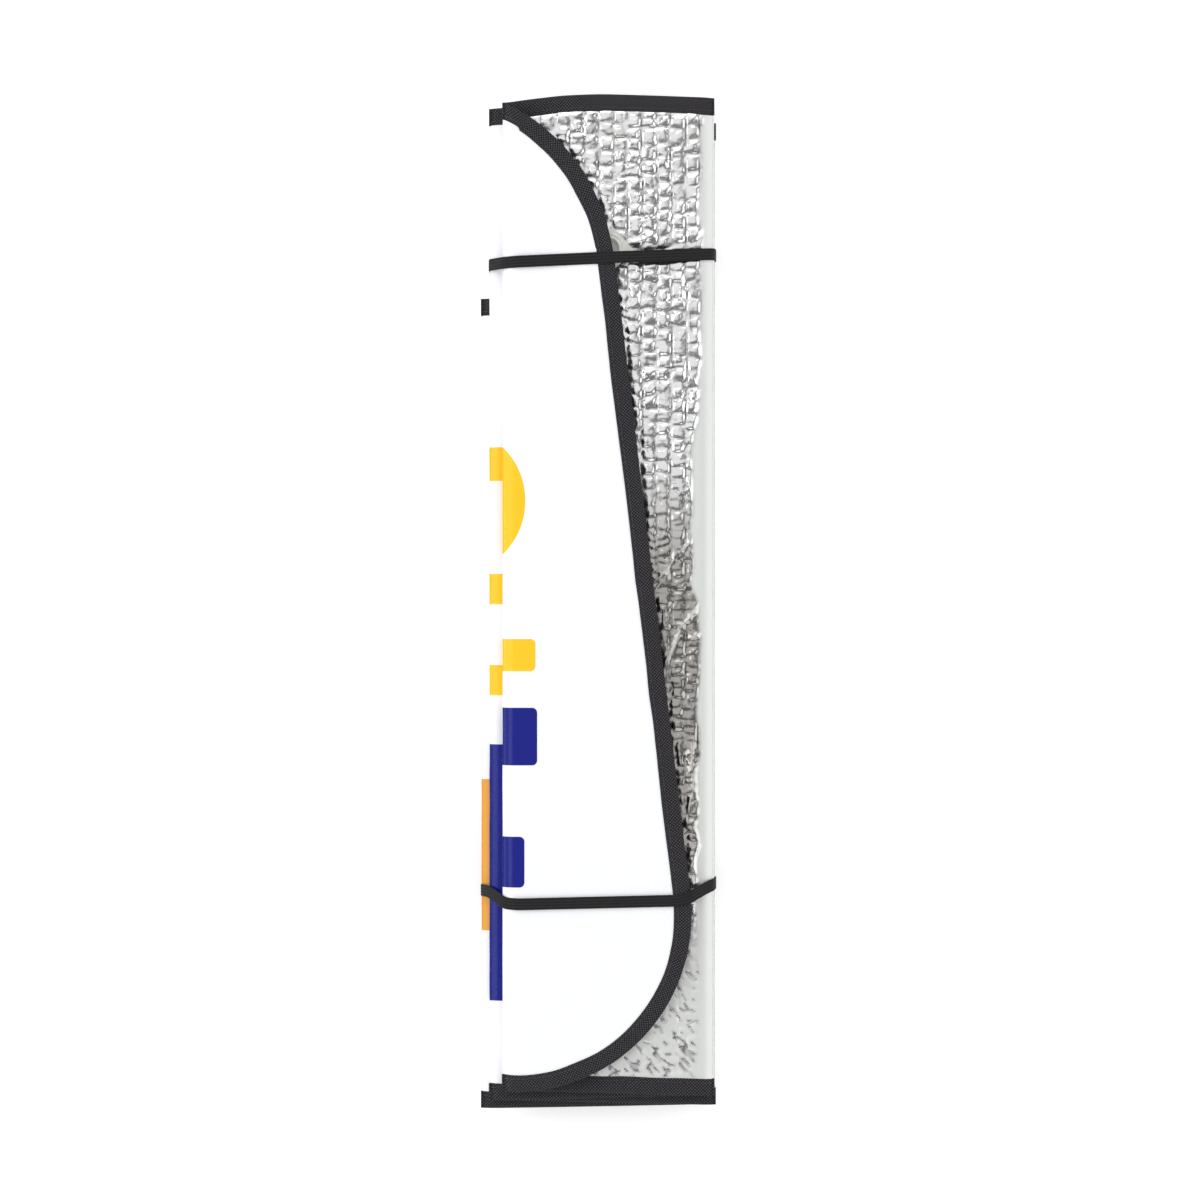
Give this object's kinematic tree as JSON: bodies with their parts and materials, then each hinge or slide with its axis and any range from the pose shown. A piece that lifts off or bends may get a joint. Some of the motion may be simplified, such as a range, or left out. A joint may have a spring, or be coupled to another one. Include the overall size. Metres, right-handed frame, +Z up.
{
  "type": "folding windscreen sunshade",
  "caption": "Foil and bubble-film windscreen sunshade, folded like a bellows into a flat stack and held by two elastic bands, with black bound edges and clear suction cups.",
  "frame": {"origin": "centre of the folded stack's underside, on the plane that it lies on", "axes": "+Z up through the stack, +Y along the folds towards the edge with the mirror notch, +X from the first fold's side towards the second fold's side"},
  "size_m": [0.1406, 0.6012, 0.0521],
  "materials": {
    "printed_film": "white polyethylene film with a satin face, printed in flat yellow and blue",
    "bubble_film": "clear polyethylene air-bubble film, grey between its two faces",
    "aluminium_film": "bright vacuum-metallised film, embossed by the bubbles and wrinkled",
    "binding_tape": "black woven polypropylene tape, lock-stitched",
    "elastic": "black braided flat elastic with lengthwise ribs",
    "clear_pvc": "clear soft PVC with a faint green-yellow tint"
  },
  "bodies": {
    "panel_10": {"print_cover_10": "printed_film", "bubble_core_10": "bubble_film", "foil_10": "aluminium_film", "end_binding_10": "binding_tape"},
    "panel_09": {"print_cover_09": "printed_film", "bubble_core_09": "bubble_film", "foil_09": "aluminium_film", "top_binding_09": "binding_tape", "bottom_binding_09": "binding_tape", "suction_cup_09": "clear_pvc"},
    "panel_08": {"print_cover_08": "printed_film", "bubble_core_08": "bubble_film", "foil_08": "aluminium_film", "top_binding_08": "binding_tape", "bottom_binding_08": "binding_tape"},
    "panel_07": {"print_cover_07": "printed_film", "bubble_core_07": "bubble_film", "foil_07": "aluminium_film", "top_binding_07": "binding_tape", "bottom_binding_07": "binding_tape"},
    "panel_06": {"print_cover_06": "printed_film", "bubble_core_06": "bubble_film", "foil_06": "aluminium_film", "top_binding_06": "binding_tape", "bottom_binding_06": "binding_tape"},
    "panel_05": {"print_cover_05": "printed_film", "bubble_core_05": "bubble_film", "foil_05": "aluminium_film", "top_binding_05": "binding_tape", "bottom_binding_05": "binding_tape"},
    "panel_04": {"print_cover_04": "printed_film", "bubble_core_04": "bubble_film", "foil_04": "aluminium_film", "top_binding_04": "binding_tape", "bottom_binding_04": "binding_tape"},
    "panel_03": {"print_cover_03": "printed_film", "bubble_core_03": "bubble_film", "foil_03": "aluminium_film", "top_binding_03": "binding_tape", "bottom_binding_03": "binding_tape"},
    "panel_02": {"print_cover_02": "printed_film", "bubble_core_02": "bubble_film", "foil_02": "aluminium_film", "top_binding_02": "binding_tape", "bottom_binding_02": "binding_tape", "suction_cup_02": "clear_pvc"},
    "panel_01": {"print_cover_01": "printed_film", "bubble_core_01": "bubble_film", "foil_01": "aluminium_film", "end_binding_01": "binding_tape"},
    "band_top": {"elastic_band_top": "elastic"},
    "band_bottom": {"elastic_band_bottom": "elastic"}
  },
  "joints": [
    {"name": "fold_9", "type": "hinge", "parent": "panel_10", "child": "panel_09", "pos_m": [-0.056, 0, 0.007], "axis": [0, -1, 0], "range_deg": [0, 180], "deforming": ["elastic_band_top", "elastic_band_bottom"]},
    {"name": "fold_8", "type": "hinge", "parent": "panel_09", "child": "panel_08", "pos_m": [0.068, 0, 0.0133], "axis": [0, 1, 0], "range_deg": [0, 180]},
    {"name": "fold_7", "type": "hinge", "parent": "panel_08", "child": "panel_07", "pos_m": [-0.064, 0, 0.01785], "axis": [0, -1, 0], "range_deg": [0, 180]},
    {"name": "fold_6", "type": "hinge", "parent": "panel_07", "child": "panel_06", "pos_m": [0.069, 0, 0.02195], "axis": [0, 1, 0], "range_deg": [0, 180]},
    {"name": "fold_5", "type": "hinge", "parent": "panel_06", "child": "panel_05", "pos_m": [-0.069, 0, 0.02605], "axis": [0, -1, 0], "range_deg": [0, 180]},
    {"name": "fold_4", "type": "hinge", "parent": "panel_05", "child": "panel_04", "pos_m": [0.069, 0, 0.03015], "axis": [0, 1, 0], "range_deg": [0, 180]},
    {"name": "fold_3", "type": "hinge", "parent": "panel_04", "child": "panel_03", "pos_m": [-0.064, 0, 0.03425], "axis": [0, -1, 0], "range_deg": [0, 180]},
    {"name": "fold_2", "type": "hinge", "parent": "panel_03", "child": "panel_02", "pos_m": [0.068, 0, 0.0388], "axis": [0, 1, 0], "range_deg": [0, 180]},
    {"name": "fold_1", "type": "hinge", "parent": "panel_02", "child": "panel_01", "pos_m": [-0.056, 0, 0.0451], "axis": [0, -1, 0], "range_deg": [0, 180]},
    {"name": "band_top_slide", "type": "slide", "parent": "panel_10", "child": "band_top", "axis": [0, 1, 0], "range_m": [0, 0.11]},
    {"name": "band_bottom_slide", "type": "slide", "parent": "panel_10", "child": "band_bottom", "axis": [0, -1, 0], "range_m": [0, 0.14]}
  ],
  "couplings": [
    {"joint": "fold_8", "follows": "fold_9", "ratio": 1},
    {"joint": "fold_7", "follows": "fold_9", "ratio": 1},
    {"joint": "fold_6", "follows": "fold_9", "ratio": 1},
    {"joint": "fold_5", "follows": "fold_9", "ratio": 1},
    {"joint": "fold_4", "follows": "fold_9", "ratio": 1},
    {"joint": "fold_3", "follows": "fold_9", "ratio": 1},
    {"joint": "fold_2", "follows": "fold_9", "ratio": 1},
    {"joint": "fold_1", "follows": "fold_9", "ratio": 1}
  ]
}
